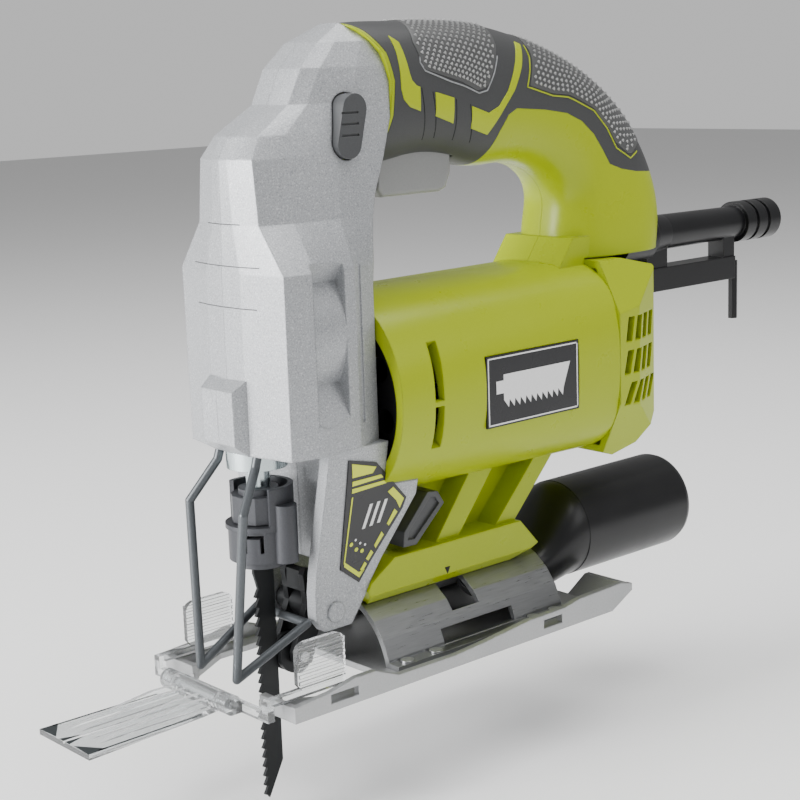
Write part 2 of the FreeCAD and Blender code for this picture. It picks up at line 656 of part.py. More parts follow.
def clamp_lever():
    ring = cut(cyl_z(10.6, 43.3, 55.6), [cyl_z(6.9 + gap, 40, 60)])
    shell = cut(cyl_z(11.4, 54, 68), [cyl_z(9.2 + 0.4, 55.6, 70), cyl_z(6.9 + gap, 50, 58)])
    opening = prism_z([(0, 0)] + [(20 * math.cos(math.radians(a)), 20 * math.sin(math.radians(a)))
                                  for a in range(-70, 71, 20)], 55.6, 70)
    shell = cut(shell, [opening])
    lobe = cut(cyl_z(3.9, 43.3, 62.5, -2.0, 11.0), [cyl_z(9.2 + 0.4, 55.6, 70),
                                                    cyl_z(6.9 + gap, 40, 58)])
    body = fuse([ring, shell, lobe])
    window = [box(6, 14, -3.4, -2.2, 47, 53), box(6, 14, 2.2, 3.4, 47, 53),
              box(6, 14, -3.4, 3.4, 51.8, 53)]
    turned = []
    for piece in window:
        piece.rotate(V(0, 0, 0), V(0, 0, 1), 40)
        turned.append(piece)
    return cut(body, turned)


def plunger_rod():
    return cyl_z(rod_r, rod_bottom_z, rod_top_z)


def blade():
    outline = [(-blade_half_w, blade_top_z), (-blade_half_w, blade_tip_z + 12),
               (2.2, blade_tip_z), (2.6, blade_tip_z + 1)]
    pitch, z = 3.3, blade_tip_z + 1
    while z + pitch < 34:
        outline += [(4.0, z + 0.5), (2.5, z + pitch)]
        z += pitch
    outline += [(3.4, 36), (4.0, 38), (4.0, 46), (2.9, 47.5), (2.9, blade_top_z)]
    return prism_y(outline, -blade_half_t, blade_half_t)


def wire_guard():
    points = []
    for s in (-1, 1):
        leg = [V(7.0, s * 10.0, nose_bottom_z), V(8.3, s * 10.2, 76), V(17.2, s * 14.6, 63),
               V(19.8, s * 10.0, 8.3), V(-6.9, s * 13.6, 21.4)]
        points = points + leg if s < 0 else points + leg[::-1]
    return wire_run(points, wire_r).common(box(-40, 60, -40, 40, 0, nose_bottom_z))


def turned(points, about, degrees):
    a = math.radians(degrees)
    return [(about[0] + (x - about[0]) * math.cos(a) - (z - about[1]) * math.sin(a),
             about[1] + (x - about[0]) * math.sin(a) + (z - about[1]) * math.cos(a))
            for x, z in points]


def roller_arm():
    outline = [(-20.5, 21.5), (-13.2, 4.8), (-10, 3.6), (-7.0, 5.6), (-6.6, 9), (-13, 24.5),
               (-11.8, 35), (-13, 37.4), (-15.8, 36.6), (-19.6, 27.5)]
    pieces = [prism_y(outline, s * 3.6 if s > 0 else -6.2, 6.2 if s > 0 else -3.6)
              for s in (1, -1)]
    pieces += [cyl_y(4.4, -10.8, 10.8, *arm_pivot), box(-16, -12.3, -6.2, 6.2, 29, 36)]
    return cut(fuse(pieces), [cyl_y(2.5 + run, -20, 20, *arm_pivot),
                              cyl_y(1.8, -20, 20, roller_x, roller_z)])


def roller():
    body = fuse([cyl_y(roller_groove_r, -3.2, 3.2, roller_x, roller_z),
                 cyl_y(roller_rim_r, 1.1, 3.2, roller_x, roller_z),
                 cyl_y(roller_rim_r, -3.2, -1.1, roller_x, roller_z)])
    return cut(body, [cyl_y(1.8 + run, -5, 5, roller_x, roller_z)])


def roller_pin():
    return cyl_y(1.8, -6.8, 6.8, roller_x, roller_z)


def arm_pin():
    return fuse([cyl_y(2.5, -16.8, 16.8, *arm_pivot), cyl_y(3.5, 16, 16.8, *arm_pivot),
                 cyl_y(3.5, -16.8, -16, *arm_pivot)])


def orbit_selector():
    x, z, y = selector_x, selector_z, selector_y
    lever = prism_y([(x - 5, z + 5), (x + 5, z + 5), (x + 8, z), (x - 6, z - 14),
                     (x - 11.5, z - 15), (x - 12.5, z - 10)], -y - 5.6, -y - 0.8)
    pieces = [cyl_y(4.0, -y - 1, -8.5, x, z), cyl_y(8.0, -y - 4.2, -y - 0.8, x, z), lever]
    return fuse(pieces)


def blower_lever():
    pad = prism_y([(-67, 50.8), (-64, 55.5), (-59.5, 56), (-48.2, 44), (-47.6, 38.8),
                   (-53.5, 38.6)], 7.0, 16.6)
    stem = cyl_y(2.5, 0.3, 8, blower_x, blower_z)
    rim = prism_y([(-64.6, 51), (-62.8, 53.6), (-60.4, 53.8), (-50.2, 43.6), (-49.8, 41),
                   (-52.8, 40.8)], 15.7, 17)
    return cut(fuse([pad, stem]), [rim])


def side_label():
    outline = [(-17.2, 76.2), (-29.4, 73.4), (-44.8, 58.2), (-43.6, 54.4), (-27.4, 31.2),
               (-19.0, 37.4)]
    slab = plate_slab(0.5, 0.5)[0]
    return prism_y(outline, 0, 40).common(slab).cut(barrel_outer)


def badge():
    x0, x1, y0, _, z0, z1 = badge_box
    return box(x0 + 0.2, x1 - 0.2, y0, y0 + 0.8, z0 + 0.2, z1 - 0.2)


def housing_screws():
    pieces = []
    for x, z, _ in screw_spots:
        screw = cyl_y(1.6, -8, 10, x, z).fuse(cyl_y(3.5, -10.4, -8, x, z))
        screw = cut(screw, [box(x - 0.4, x + 0.4, -11, -9.4, z - 2.2, z + 2.2),
                            box(x - 2.2, x + 2.2, -11, -9.4, z - 0.4, z + 0.4)])
        pieces.append(screw)
    return Part.makeCompound(pieces)


def cap_screws():
    pieces = []
    for y, z in cap_spots:
        screw = cyl_x(1.6, -165, -136, y, z).fuse(cyl_x(3.0, -167.4, -165, y, z))
        pieces.append(cut(screw, [box(-168, -166.4, y - 2, y + 2, z - 0.4, z + 0.4)]))
    return Part.makeCompound(pieces)


def shoe_plate():
    flange = [(shoe_front_x, 0), (shoe_front_x, 5.2), (3, 6.2), (-8, 8.4), (-16, 8.4),
              (-26, 4.4), (-52, 4.2), (-66, 5.2), (-88, 7.4), (-106, 7.6), (-114, 9.0),
              (-136, 9.6), (shoe_rear_x, 8.2), (shoe_rear_x, 5.6), (-131, 0)]
    half = shoe_half
    base = prism_z([(shoe_front_x, half - 1), (16.5, half), (-131, half), (-131, -half),
                    (16.5, -half), (shoe_front_x, 1 - half)], 0, floor_t)
    opening = prism_z([(30, 17.4), (shoe_front_x, 18), (-1, rail_in_y), (-27, rail_in_y),
                       (-27, -rail_in_y), (-1, -rail_in_y), (shoe_front_x, -18), (30, -17.4)],
                      -1, 10)
    pieces = [cut(base, [opening])]
    for s in (1, -1):
        y0, y1 = (half - 2.4, half) if s > 0 else (-half, 2.4 - half)
        pieces.append(prism_y(flange, y0, y1))
        y0, y1 = (18.6, half - 2) if s > 0 else (2 - half, -18.6)
        pieces.append(box(15.0, shoe_front_x, y0, y1, 0, 5.0))
    pieces.append(prism_y([(-130, 0), (-131, 0), (-142, 5.6), (-142, 8), (-139.6, 8),
                           (-130, floor_t)], 1 - half, half - 1))
    tools = []
    for s in (1, -1):
        y0, y1 = (half - 7, half + 3) if s > 0 else (-half - 3, 7 - half)
        tools += [box(-8.5, 3.0, y0, y1, 2.5, 5.6), box(-104, -94.5, y0, y1, 2.5, 5.6)]
    tools.append(box(-150, -130.2, -15.5, 15.5, -1, 20))
    return cut(fuse(pieces), tools)


def bevel_bracket():
    x0, x1 = bracket_rear_x, bracket_front_x
    ring = sector(bracket_r - bracket_t, bracket_r, 0, 180, x0, x1, bevel_z)
    ring = ring.common(box(x0, x1, -60, 60, floor_t, 60))
    feet = [box(x0, x1, s * 24.6 if s > 0 else -31, 31 if s > 0 else -24.6, floor_t,
                floor_t + 1.8) for s in (1, -1)]
    body = fuse([ring] + feet)
    body = cut(body, [cyl_x(bracket_r - bracket_t, x0 - 1, x1 + 1, 0, bevel_z)])
    tools = [sector(20, 40, 90 - 55, 90 + 55, -77.5, -64.5, bevel_z)]
    for s in (1, -1):
        y0, y1 = (15, 40) if s > 0 else (-40, -15)
        tools.append(box(-91, -56.5, y0, y1, 4.2, 9.2))
    return cut(body, tools)


def bracket_rivets():
    pieces = []
    for x in (-37, -50, -98, -109):
        for s in (1, -1):
            pieces.append(cyl_z(2.4, floor_t + 1.8, floor_t + 2.4, x, s * 28.6))
    return Part.makeCompound(pieces)


def bevel_screw():
    head = cyl_z(4.4, 14.6, 18.6, bevel_screw_x)
    head = cut(head, [hex_bar(2.3, V(bevel_screw_x, 0, 14), V(bevel_screw_x, 0, 17))])
    return head.fuse(cyl_z(2.4, 18.6, 32.5, bevel_screw_x))


def bevel_washer():
    plate = sector(bracket_r - bracket_t - 3.8, bracket_r - bracket_t - gap, 66, 114, -79, -63,
                   bevel_z)
    return cut(plate, [cyl_z(2.4, 0, 40, bevel_screw_x), cyl_z(4.6, 0, 18.6, bevel_screw_x)])


def bevel_nut():
    nut = prism_z([(bevel_screw_x + 4.0 * math.cos(math.radians(60 * i)),
                    4.0 * math.sin(math.radians(60 * i))) for i in range(6)], 28, 31.5)
    return cut(nut, [cyl_z(2.4, 20, 40, bevel_screw_x)])


def guide_frame():
    pieces = [box(21.4, 24.0, -31.5, 31.5, 0.5, 3.4)]
    for s in (1, -1):
        def span(a, b):
            return (a, b) if s > 0 else (-b, -a)
        y0, y1 = span(28.4, 31.4)
        pieces.append(box(21.4, 24.0, y0, y1, 0.5, 7.6))
        pieces.append(box(-8.0, 24.0, y0, y1, 5.3, 7.6))
        y0, y1 = span(29.4, 31.2)
        pieces.append(prism_y([(-8, 5.3), (-8, 20.4), (-6.9, 22.2), (-5, 23), (8.5, 23),
                               (10.4, 22.2), (11.5, 20.4), (11.5, 9.5), (8, 5.3)], y0, y1))
        for k in range(6):
            z = 9.4 + 2.2 * k
            y0, y1 = span(31.2, 31.9)
            pieces.append(box(-7.6, 11.1, y0, y1, z, z + 1.1))
        y0, y1 = span(12.0, 18.0)
        pieces.append(cyl_y(3.3, y0, y1, 27.6, 4.0))
        pieces.append(box(23.0, 27.6, y0, y1, 0.7, 4.4))
    body = fuse(pieces)
    return cut(body, [cyl_y(1.5, -19, 19, 27.6, 4.0)])


def hinge_pin():
    return fuse([cyl_y(1.5, -19, 19, 27.6, 4.0)])


def sight_pointer():
    plate = prism_z([(29, 10.6), (34, 11.4), (78, 14.5), (78, -14.5), (34, -11.4),
                     (29, -10.6)], 0.3, 2.1)
    ribs = [prism_y([(29, 2.0), (29, 5.0), (40, 5.4), (72, 2.0)], y, y + 1.6)
            for y in (-9.4, -4.6, 3.0, 7.8)]
    pieces = [plate] + ribs + [cyl_y(3.3, -11.7, 11.7, 27.6, 4.0),
                               box(27.6, 31, -10.6, 10.6, 0.3, 4.0)]
    line = box(36, 90, -0.5, 0.5, 1.5, 3)
    return cut(fuse(pieces), [cyl_y(1.5 + run, -19, 19, 27.6, 4.0), line])


def dust_port():
    """Flat neck inside the bracket, easing into the round hose tube behind it."""
    def body(less):
        wires = []
        for k in range(11):
            x = -100.0 - 4.0 * k
            t = min(1.0, max(0.0, (-x - 115) / 25.0))
            ease = t * t * (3 - 2 * t)
            hz = 8.8 + (port_r - 0.2 - 8.8) * ease - less
            hy = 14.6 + (port_r - 0.2 - 14.6) * ease - less
            z = 12.4 + (port_z - 12.4) * ease
            wires.append(rounded(V(x, 0, z), V(0, 0, 1), V(0, 1, 0), hz, hy,
                                 2.8 - 0.8 * ease, 24))
        return Part.makeLoft(wires, True, False)

    outline = [(-140, 0), (-140, port_r), (-197.6, port_r), (-199.2, port_r - 0.5),
               (-200, port_r - 1.3), (-200, 0)]
    tube = Part.Face(Part.makePolygon([V(x, 0, port_z + r) for x, r in outline + outline[:1]]))
    outer = body(0).fuse([tube.revolve(V(0, 0, port_z), V(1, 0, 0), 360),
                          box(-130, -124, -5, 5, floor_t + gap, 12)])
    return cut(outer, [body(port_wall), cyl_x(port_r - port_wall, -201, -139.9, 0, port_z)])


NODES = {
    "nose_left": lambda: nose_half(True), "nose_right": lambda: nose_half(False),
    "shell_left": lambda: shell_half(True), "shell_right": lambda: shell_half(False),
    "grip_left": lambda: grip_half(True), "grip_right": lambda: grip_half(False),
    "rear_cap": rear_cap, "trigger": trigger, "switch_module": switch_module,
    "lock_button": lock_button, "cable_sleeve": sleeve, "hex_key": hex_key,
    "front_plate": front_plate, "front_bearing": lambda: bearing(-41, -34),
    "rear_bearing": lambda: bearing(-156, -149), "field_core": field_core,
    "field_coils": field_coils, "brush_carrier": brush_carrier, "brushes": brushes,
    "armature_shaft": armature_shaft, "armature_core": armature_core,
    "armature_windings": armature_windings, "commutator": commutator, "fan": fan,
    "drive_gear": drive_gear, "crank_pin": crank_pin, "crank_roller": crank_roller,
    "gear_spindle": gear_spindle, "yoke": yoke, "bush_lower": bush_lower,
    "bush_upper": bush_upper, "plunger_rod": plunger_rod, "clamp_body": clamp_body,
    "clamp_lever": clamp_lever, "blade": blade, "wire_guard": wire_guard,
    "roller_arm": roller_arm, "guide_roller": roller, "roller_pin": roller_pin,
    "arm_pin": arm_pin, "orbit_selector": orbit_selector, "blower_lever": blower_lever,
    "side_label": side_label, "badge_plate": badge, "housing_screws": housing_screws,
    "cap_screws": cap_screws, "shoe_plate": shoe_plate, "bevel_bracket": bevel_bracket,
    "bracket_rivets": bracket_rivets, "bevel_screw": bevel_screw,
    "bevel_washer": bevel_washer, "bevel_nut": bevel_nut, "guide_frame": guide_frame,
    "hinge_pin": hinge_pin, "sight_pointer": sight_pointer, "dust_port": dust_port}

for name, make in NODES.items():
    shape = make()
    shape.exportStep("parts/%s.step" % name)
    print(name, shape.isValid(), len(shape.Solids), round(shape.Volume, 1))
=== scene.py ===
"""Looks for the jigsaw: paint, soft grip, inlays, printed marks, clear guide and studio."""

import math

import bmesh
import bpy
from mathutils import Matrix, Vector
from mathutils.bvhtree import BVHTree


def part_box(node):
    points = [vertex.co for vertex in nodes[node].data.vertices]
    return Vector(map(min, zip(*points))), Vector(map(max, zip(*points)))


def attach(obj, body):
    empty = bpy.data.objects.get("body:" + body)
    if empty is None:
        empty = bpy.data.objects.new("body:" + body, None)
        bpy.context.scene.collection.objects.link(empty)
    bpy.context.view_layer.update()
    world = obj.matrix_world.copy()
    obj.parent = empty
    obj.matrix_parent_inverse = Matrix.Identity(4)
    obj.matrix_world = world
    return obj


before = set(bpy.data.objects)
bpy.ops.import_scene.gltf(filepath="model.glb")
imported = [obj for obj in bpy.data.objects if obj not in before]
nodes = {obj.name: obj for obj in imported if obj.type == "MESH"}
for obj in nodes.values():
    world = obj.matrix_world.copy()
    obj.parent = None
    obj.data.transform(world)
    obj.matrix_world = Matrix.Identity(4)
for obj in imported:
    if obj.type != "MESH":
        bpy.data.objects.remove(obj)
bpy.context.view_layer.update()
MM = 0.001
UP = Vector((0, 0, 1))


# ------------------------------------------------------------ shader node kit
def new_group(name, inputs, outputs):
    """A shader node group with named sockets and its two end nodes."""
    tree = bpy.data.node_groups.new(name, "ShaderNodeTree")
    for label, kind, value in inputs:
        socket = tree.interface.new_socket(name=label, in_out="INPUT", socket_type=kind)
        if value is not None:
            socket.default_value = value
    for label, kind in outputs:
        tree.interface.new_socket(name=label, in_out="OUTPUT", socket_type=kind)
    return tree, tree.nodes.new("NodeGroupInput"), tree.nodes.new("NodeGroupOutput")


def add(tree, kind, values=None, links=None, **settings):
    """One node, with its settings, its socket values and the sockets that feed it."""
    node = tree.nodes.new(kind)
    for key, value in settings.items():
        setattr(node, key, value)
    for key, value in (values or {}).items():
        node.inputs[key].default_value = value
    for key, source in (links or {}).items():
        tree.links.new(source, node.inputs[key])
    return node


def mix_colour(tree, factor, a, b, blend="MIX"):
    """A colour mix; a, b and the factor are sockets or plain values."""
    node = tree.nodes.new("ShaderNodeMix")
    node.data_type = "RGBA"
    node.blend_type = blend
    for index, value in ((0, factor), (6, a), (7, b)):
        if isinstance(value, bpy.types.NodeSocket):
            tree.links.new(value, node.inputs[index])
        else:
            node.inputs[index].default_value = value
    return node.outputs[2]


def speckle_group():
    """Fine light and dark flakes over a base colour."""
    tree, inside, out = new_group(
        "flake_speckle",
        [("Vector", "NodeSocketVector", None), ("Base", "NodeSocketColor", (0.6, 0.6, 0.6, 1)),
         ("Dark", "NodeSocketColor", (0.3, 0.3, 0.3, 1)),
         ("Light", "NodeSocketColor", (0.9, 0.9, 0.9, 1)),
         ("Scale", "NodeSocketFloat", 2500.0), ("Amount", "NodeSocketFloat", 0.5)],
        [("Color", "NodeSocketColor"), ("Fleck", "NodeSocketFloat")])
    grain = add(tree, "ShaderNodeTexNoise", {"Detail": 1.0, "Roughness": 0.6},
                {"Vector": inside.outputs["Vector"], "Scale": inside.outputs["Scale"]})
    low = add(tree, "ShaderNodeMapRange", {"From Min": 0.44, "From Max": 0.30, "To Max": 1.0},
              {"Value": grain.outputs["Fac"]})
    high = add(tree, "ShaderNodeMapRange", {"From Min": 0.56, "From Max": 0.72, "To Max": 1.0},
               {"Value": grain.outputs["Fac"]})
    dark = add(tree, "ShaderNodeMath", None,
               {0: low.outputs["Result"], 1: inside.outputs["Amount"]}, operation="MULTIPLY")
    light = add(tree, "ShaderNodeMath", None,
                {0: high.outputs["Result"], 1: inside.outputs["Amount"]}, operation="MULTIPLY")
    first = mix_colour(tree, dark.outputs[0], inside.outputs["Base"], inside.outputs["Dark"])
    second = mix_colour(tree, light.outputs[0], first, inside.outputs["Light"])
    tree.links.new(second, out.inputs["Color"])
    tree.links.new(high.outputs["Result"], out.inputs["Fleck"])
    return tree


def grain_group():
    """A moulded or cast surface: fine bumps on softly rounded edges."""
    tree, inside, out = new_group(
        "moulded_grain",
        [("Vector", "NodeSocketVector", None), ("Scale", "NodeSocketFloat", 1500.0),
         ("Strength", "NodeSocketFloat", 0.15), ("Depth", "NodeSocketFloat", 0.00005),
         ("Edge Radius", "NodeSocketFloat", 0.0004)],
        [("Normal", "NodeSocketVector")])
    rounded = add(tree, "ShaderNodeBevel", None, {"Radius": inside.outputs["Edge Radius"]},
                  samples=4)
    noise = add(tree, "ShaderNodeTexNoise", {"Detail": 2.0},
                {"Vector": inside.outputs["Vector"], "Scale": inside.outputs["Scale"]})
    bump = add(tree, "ShaderNodeBump", None,
               {"Strength": inside.outputs["Strength"], "Distance": inside.outputs["Depth"],
                "Height": noise.outputs["Fac"], "Normal": rounded.outputs["Normal"]})
    tree.links.new(bump.outputs["Normal"], out.inputs["Normal"])
    return tree


def handling_group():
    """Slow patches of a little more or less gloss, as from handling and dust."""
    tree, inside, out = new_group(
        "handling_marks",
        [("Vector", "NodeSocketVector", None), ("Low", "NodeSocketFloat", 0.3),
         ("High", "NodeSocketFloat", 0.4), ("Scale", "NodeSocketFloat", 60.0)],
        [("Roughness", "NodeSocketFloat")])
    noise = add(tree, "ShaderNodeTexNoise", {"Detail": 4.0, "Roughness": 0.6},
                {"Vector": inside.outputs["Vector"], "Scale": inside.outputs["Scale"]})
    span = add(tree, "ShaderNodeMapRange", {"From Min": 0.3, "From Max": 0.7},
               {"Value": noise.outputs["Fac"], "To Min": inside.outputs["Low"],
                "To Max": inside.outputs["High"]})
    tree.links.new(span.outputs["Result"], out.inputs["Roughness"])
    return tree


def brushed_group():
    """Fine drawn lines along one axis, as a value from 0 to 1."""
    tree, inside, out = new_group(
        "drawn_lines",
        [("Vector", "NodeSocketVector", None), ("Along", "NodeSocketVector", (1.0, 30.0, 30.0))],
        [("Line", "NodeSocketFloat")])
    stretch = add(tree, "ShaderNodeVectorMath", None,
                  {0: inside.outputs["Vector"], 1: inside.outputs["Along"]},
                  operation="MULTIPLY")
    noise = add(tree, "ShaderNodeTexNoise", {"Scale": 100.0, "Detail": 3.0},
                {"Vector": stretch.outputs["Vector"]})
    tree.links.new(noise.outputs["Fac"], out.inputs["Line"])
    return tree


SPECKLE = speckle_group()
GRAIN = grain_group()
HANDLING = handling_group()
BRUSHED = brushed_group()


def use(tree, group, values, links):
    """A copy of a node group inside a material, with its own values."""
    node = tree.nodes.new("ShaderNodeGroup")
    node.node_tree = group
    for key, value in values.items():
        node.inputs[key].default_value = value
    for key, source in links.items():
        tree.links.new(source, node.inputs[key])
    return node


def new_material(name, **constants):
    """An empty material: its tree, its main shader and its object coordinates."""
    material = bpy.data.materials.new(name)
    material.use_nodes = True
    tree = material.node_tree
    shader = tree.nodes["Principled BSDF"]
    for key, value in constants.items():
        shader.inputs[key.replace("_", " ")].default_value = value
    where = tree.nodes.new("ShaderNodeTexCoord").outputs["Object"]
    return material, tree, shader, where


def moulded(name, colour, gloss, grain=0.15, scale=1500.0, edge=0.0004, shade=0.12, metal=0.0,
            depth=0.00005, **constants):
    """A moulded, cast or coated surface of one colour with grain and slight variation."""
    material, tree, shader, where = new_material(name, Metallic=metal, **constants)
    darker = tuple(c * (1 - shade) for c in colour) + (1,)
    lighter = tuple(min(1.0, c * (1 + shade)) for c in colour) + (1,)
    tone = use(tree, SPECKLE, {"Base": (*colour, 1), "Dark": darker, "Light": lighter,
                               "Scale": scale, "Amount": 0.8}, {"Vector": where})
    normal = use(tree, GRAIN, {"Scale": scale, "Strength": grain, "Edge Radius": edge,
                               "Depth": depth}, {"Vector": where})
    sheen = use(tree, HANDLING, {"Low": gloss - 0.04, "High": gloss + 0.05}, {"Vector": where})
    tree.links.new(tone.outputs["Color"], shader.inputs["Base Color"])
    tree.links.new(normal.outputs["Normal"], shader.inputs["Normal"])
    tree.links.new(sheen.outputs["Roughness"], shader.inputs["Roughness"])
    return material


def silver_paint():
    material, tree, shader, where = new_material("silver_paint", Metallic=0.35,
                                                 Coat_Weight=0.15, Coat_Roughness=0.3)
    tone = use(tree, SPECKLE, {"Base": (0.37, 0.38, 0.395, 1), "Dark": (0.20, 0.21, 0.22, 1),
                               "Light": (0.66, 0.67, 0.68, 1), "Scale": 2100.0,
                               "Amount": 0.6}, {"Vector": where})
    normal = use(tree, GRAIN, {"Scale": 1500.0, "Strength": 0.12, "Edge Radius": 0.0009},
                 {"Vector": where})
    sheen = use(tree, HANDLING, {"Low": 0.40, "High": 0.48}, {"Vector": where})
    tree.links.new(tone.outputs["Color"], shader.inputs["Base Color"])
    tree.links.new(normal.outputs["Normal"], shader.inputs["Normal"])
    tree.links.new(sheen.outputs["Roughness"], shader.inputs["Roughness"])
    return material


def brushed(name, colour, gloss, along, contrast=0.25, metal=1.0):
    """Drawn or ground metal with lines along one direction."""
    material, tree, shader, where = new_material(name, Metallic=metal)
    line = use(tree, BRUSHED, {"Along": along}, {"Vector": where})
    low = tuple(c * (1 - contrast) for c in colour) + (1,)
    high = tuple(min(1.0, c * (1 + contrast)) for c in colour) + (1,)
    tone = mix_colour(tree, line.outputs["Line"], low, high)
    rough = add(tree, "ShaderNodeMapRange",
                {"From Min": 0.3, "From Max": 0.7, "To Min": gloss - 0.06, "To Max": gloss + 0.08},
                {"Value": line.outputs["Line"]})
    normal = use(tree, GRAIN, {"Scale": 900.0, "Strength": 0.05, "Edge Radius": 0.0003},
                 {"Vector": where})
    tree.links.new(tone, shader.inputs["Base Color"])
    tree.links.new(rough.outputs["Result"], shader.inputs["Roughness"])
    tree.links.new(normal.outputs["Normal"], shader.inputs["Normal"])
    return material


def clear_plastic():
    """Clear moulding whose colour turns near black where it is seen edge-on: painted dark
    reflections along its edges.
    """
    material, tree, shader, where = new_material("clear_plastic", Transmission_Weight=0.93,
                                                 IOR=1.49, Metallic=0.0)
    # facing weight darkens the colour at glancing angles: the dark rims are painted reflection,
    # not a tint of the plastic
    rim = add(tree, "ShaderNodeLayerWeight", {"Blend": 0.45})
    edge = add(tree, "ShaderNodeMapRange", {"From Min": 0.30, "From Max": 0.85},
               {"Value": rim.outputs["Facing"]})
    tone = mix_colour(tree, edge.outputs["Result"], (0.95, 0.965, 0.97, 1), (0.10, 0.11, 0.12, 1))
    sheen = use(tree, HANDLING, {"Low": 0.02, "High": 0.07}, {"Vector": where})
    tree.links.new(tone, shader.inputs["Base Color"])
    tree.links.new(sheen.outputs["Roughness"], shader.inputs["Roughness"])
    return material


MATERIALS = {
    "silver_paint": silver_paint(),
    "lime_plastic": moulded("lime_plastic", (0.35, 0.43, 0.001), 0.30, 0.10, 2200.0, 0.0009,
                            0.05, Specular_IOR_Level=0.3),
    "lime_inlay": moulded("lime_inlay", (0.40, 0.48, 0.002), 0.28, 0.06, 1800.0, 0.0003, 0.04,
                          Specular_IOR_Level=0.3),
    "grey_rubber": moulded("grey_rubber", (0.052, 0.053, 0.054), 0.50, 0.25, 2600.0, 0.0009,
                           0.12, Specular_IOR_Level=0.35),
    "stipple_rubber": moulded("stipple_rubber", (0.080, 0.081, 0.081), 0.46, 0.2, 2600.0,
                              0.0002, 0.12, Specular_IOR_Level=0.4),
    # the pyramids' light grey, far lighter than the panel they stand on, is a painted highlight on
    # the stipple tips
    "stipple_tip_highlight": moulded("stipple_tip_highlight", (0.36, 0.362, 0.36), 0.36, 0.1, 2600.0, 0.0001,
                            0.10),
    "dark_plastic": moulded("dark_plastic", (0.060, 0.062, 0.065), 0.42, 0.2, 2400.0, 0.0006),
    "black_plastic": moulded("black_plastic", (0.007, 0.007, 0.008), 0.32, 0.12, 1800.0,
                             0.0006, Specular_IOR_Level=0.4),
    # near black for the printed arrow on the foot, and as painted shade in the grip creases
    "black_print_and_crease_shade": moulded("black_print_and_crease_shade", (0.006, 0.006, 0.006), 0.7, 0.1),
    "grey_plastic": moulded("grey_plastic", (0.27, 0.272, 0.27), 0.40, 0.12, 2000.0, 0.0012,
                            0.05),
    "clamp_metal": moulded("clamp_metal", (0.055, 0.057, 0.064), 0.44, 0.2, 1800.0, 0.0004,
                           0.15, 0.3),
    "wire_steel": moulded("wire_steel", (0.085, 0.093, 0.10), 0.38, 0.1, 1800.0, 0.0002,
                          0.12, 0.5),
    "blade_steel": brushed("blade_steel", (0.013, 0.014, 0.015), 0.44, (30.0, 30.0, 1.0),
                           0.25, 0.6),
    "key_steel": moulded("key_steel", (0.012, 0.012, 0.013), 0.35, 0.1, 1800.0, 0.0002, 0.2,
                         0.4),
    "steel": brushed("steel", (0.48, 0.485, 0.49), 0.34, (1.0, 25.0, 25.0)),
    "pressed_steel": brushed("pressed_steel", (0.27, 0.275, 0.28), 0.33, (1.5, 22.0, 22.0),
                             0.16, 0.92),
    "rod_steel": brushed("rod_steel", (0.55, 0.62, 0.63), 0.22, (20.0, 20.0, 1.0), 0.12),
    "cast_aluminium": moulded("cast_aluminium", (0.38, 0.385, 0.39), 0.36, 0.22, 1600.0,
                              0.0006, 0.08, 0.7),
    "copper": brushed("copper", (0.62, 0.28, 0.12), 0.30, (1.0, 20.0, 20.0)),
    "bronze": moulded("bronze", (0.50, 0.34, 0.14), 0.38, 0.2, 1500.0, 0.0003, 0.2, 0.9),
    "carbon": moulded("carbon", (0.02, 0.02, 0.02), 0.6, 0.3, 1500.0),
    "screw_steel": moulded("screw_steel", (0.05, 0.05, 0.055), 0.36, 0.1, 1500.0, 0.0002, 0.2,
                           0.8),
    "clear_plastic": clear_plastic(),
    "print_black": moulded("print_black", (0.008, 0.008, 0.010), 0.28, 0.05, 1200.0, 0.0001),
    "print_white": moulded("print_white", (0.82, 0.82, 0.82), 0.35, 0.05, 1200.0, 0.0001,
                           0.03),
    "print_lime": moulded("print_lime", (0.66, 0.74, 0.02), 0.32, 0.05, 1200.0, 0.0001, 0.03),
    "pointer_ink": moulded("pointer_ink", (0.015, 0.020, 0.022), 0.25, 0.05, 1200.0, 0.0001)}

FINISH = {
    "silver_paint": ["nose_left", "nose_right", "arm_pin"],
    "lime_plastic": ["shell_left", "shell_right", "rear_cap"],
    "grey_rubber": ["grip_left", "grip_right"],
    "grey_plastic": ["trigger"],
    "dark_plastic": ["lock_button", "orbit_selector", "blower_lever"],
    "black_plastic": ["switch_module", "cable_sleeve", "brush_carrier", "fan", "dust_port",
                      "front_plate"],
    "key_steel": ["hex_key"],
    "cast_aluminium": ["shoe_plate"],
    "steel": ["front_bearing", "rear_bearing", "field_core", "armature_shaft", "armature_core",
              "drive_gear", "crank_pin", "crank_roller", "gear_spindle", "yoke",
              "roller_pin", "bracket_rivets", "bevel_washer", "bevel_nut"],
    "pressed_steel": ["bevel_bracket"],
    "copper": ["field_coils", "armature_windings", "commutator"],
    "carbon": ["brushes"],
    "bronze": ["bush_upper"],
    "rod_steel": ["plunger_rod", "bush_lower"],
    "clamp_metal": ["clamp_body", "clamp_lever"],
    "blade_steel": ["blade", "roller_arm", "guide_roller"],
    "wire_steel": ["wire_guard"],
    "print_black": ["side_label", "badge_plate"],
    "screw_steel": ["housing_screws", "cap_screws", "bevel_screw"],
    "clear_plastic": ["guide_frame", "hinge_pin", "sight_pointer"]}


def paint_cad_nodes():
    """Every CAD node gets the finish that lists it."""
    for finish, members in FINISH.items():
        for name in members:
            materials = nodes[name].data.materials
            materials.clear()
            materials.append(MATERIALS[finish])


# -------------------------------------------------------------- surface tools
def surface(*names):
    """What rays can hit: the shapes of these CAD nodes."""
    points, faces = [], []
    for name in names:
        mesh = nodes[name].data
        start = len(points)
        points += [v.co.copy() for v in mesh.vertices]
        faces += [[start + i for i in f.vertices] for f in mesh.polygons]
    return BVHTree.FromPolygons(points, faces)


